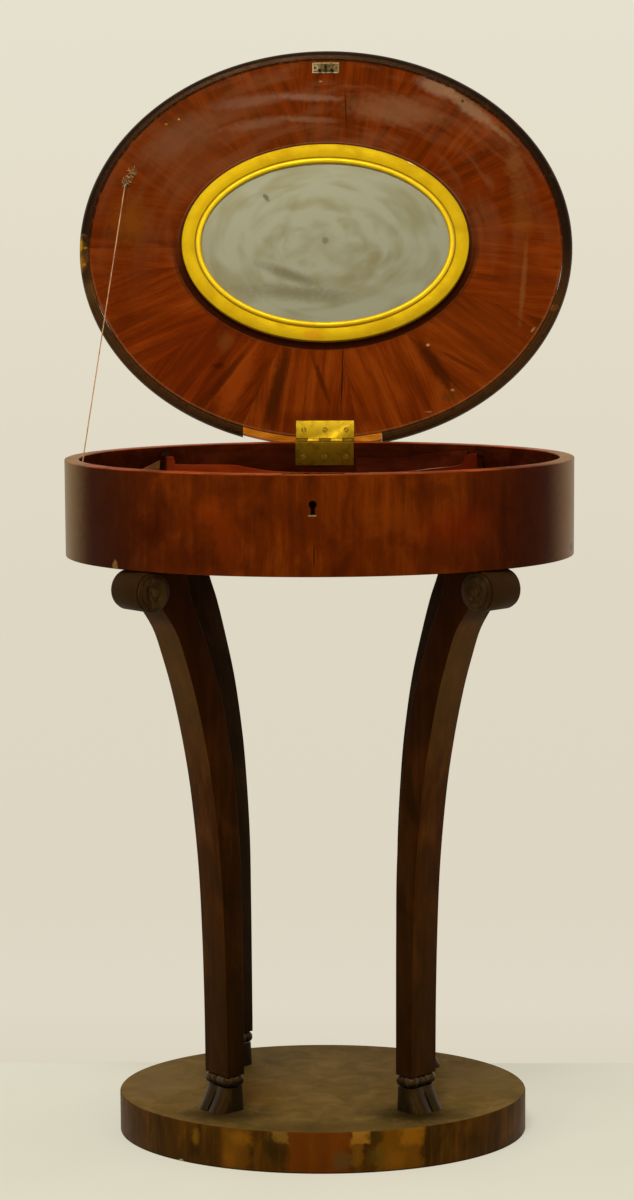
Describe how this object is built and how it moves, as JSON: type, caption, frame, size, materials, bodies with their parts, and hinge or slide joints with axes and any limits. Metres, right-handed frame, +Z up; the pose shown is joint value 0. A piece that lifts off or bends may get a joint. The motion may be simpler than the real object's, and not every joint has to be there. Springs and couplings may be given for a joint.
{
  "type": "work table",
  "caption": "Oval mahogany work table on sabre legs with hoof feet and an oval plinth; its lid, held open by a string, carries a gilt framed mirror.",
  "frame": {"origin": "on the floor, below the middle of the oval box", "axes": "X along the long axis of the oval, Y towards the hinge side, Z up; the lid stands open"},
  "size_m": [0.585, 0.5879, 1.2173],
  "materials": {
    "mahogany_veneer": "old polished mahogany veneer",
    "leg_mahogany": "dark polished solid mahogany",
    "ebonised_wood": "ebonised and worn",
    "pale_wood": "unpolished",
    "gilt": "water gilding over gesso",
    "mirror_glass": "foxed silvering",
    "old_brass": "tarnished",
    "steel": "dull and rusted",
    "string": "twisted linen"
  },
  "bodies": {
    "table": {"plinth": "mahogany_veneer", "leg_front_left": "leg_mahogany", "roll_end_front_left_long_side": "leg_mahogany", "roll_end_front_left_short_side": "leg_mahogany", "ankle_collar_front_left": "ebonised_wood", "hoof_front_left": "ebonised_wood", "leg_screw_front_left": "steel", "leg_front_right": "leg_mahogany", "roll_end_front_right_long_side": "leg_mahogany", "roll_end_front_right_short_side": "leg_mahogany", "ankle_collar_front_right": "ebonised_wood", "hoof_front_right": "ebonised_wood", "leg_screw_front_right": "steel", "leg_rear_left": "leg_mahogany", "roll_end_rear_left_long_side": "leg_mahogany", "roll_end_rear_left_short_side": "leg_mahogany", "ankle_collar_rear_left": "ebonised_wood", "hoof_rear_left": "ebonised_wood", "leg_screw_rear_left": "steel", "leg_rear_right": "leg_mahogany", "roll_end_rear_right_long_side": "leg_mahogany", "roll_end_rear_right_short_side": "leg_mahogany", "ankle_collar_rear_right": "ebonised_wood", "hoof_rear_right": "ebonised_wood", "leg_screw_rear_right": "steel", "box_wall": "mahogany_veneer", "box_floor": "pale_wood", "divider_left": "mahogany_veneer", "divider_right": "mahogany_veneer", "well_back_board": "mahogany_veneer", "well_front_board": "mahogany_veneer", "rear_lining": "mahogany_veneer", "left_wing_board": "pale_wood", "lock_case": "old_brass", "lock_screw_left": "old_brass", "lock_screw_right": "old_brass", "hinge_box_leaf": "old_brass", "hinge_pin": "old_brass", "hinge_box_screw_left": "old_brass", "hinge_box_screw_middle": "old_brass", "hinge_box_screw_right": "old_brass", "stay_nail_box": "steel", "stay_string": "string"},
    "bolt": {"lock_bolt": "steel"},
    "lid": {"lid_panel": "mahogany_veneer", "lid_edge_bead": "ebonised_wood", "lid_rear_lipping": "pale_wood", "mirror_backing": "pale_wood", "mirror_glass": "mirror_glass", "mirror_frame": "gilt", "mirror_lip": "gilt", "link_plate": "steel", "link_plate_screw_left": "steel", "link_plate_screw_right": "steel", "hinge_lid_leaf": "old_brass", "hinge_lid_screw_left": "old_brass", "hinge_lid_screw_middle": "old_brass", "hinge_lid_screw_right": "old_brass", "stay_nail_lid": "steel"}
  },
  "joints": [
    {"name": "lid_hinge", "type": "hinge", "parent": "table", "child": "lid", "pos_m": [0, 0.2324, 0.7602], "axis": [1, 0, 0], "range_deg": [0, 104], "deforming": ["stay_string"]},
    {"name": "lock_bolt_slide", "type": "slide", "parent": "table", "child": "bolt", "axis": [1, 0, 0], "range_m": [0, 0.006]}
  ]
}
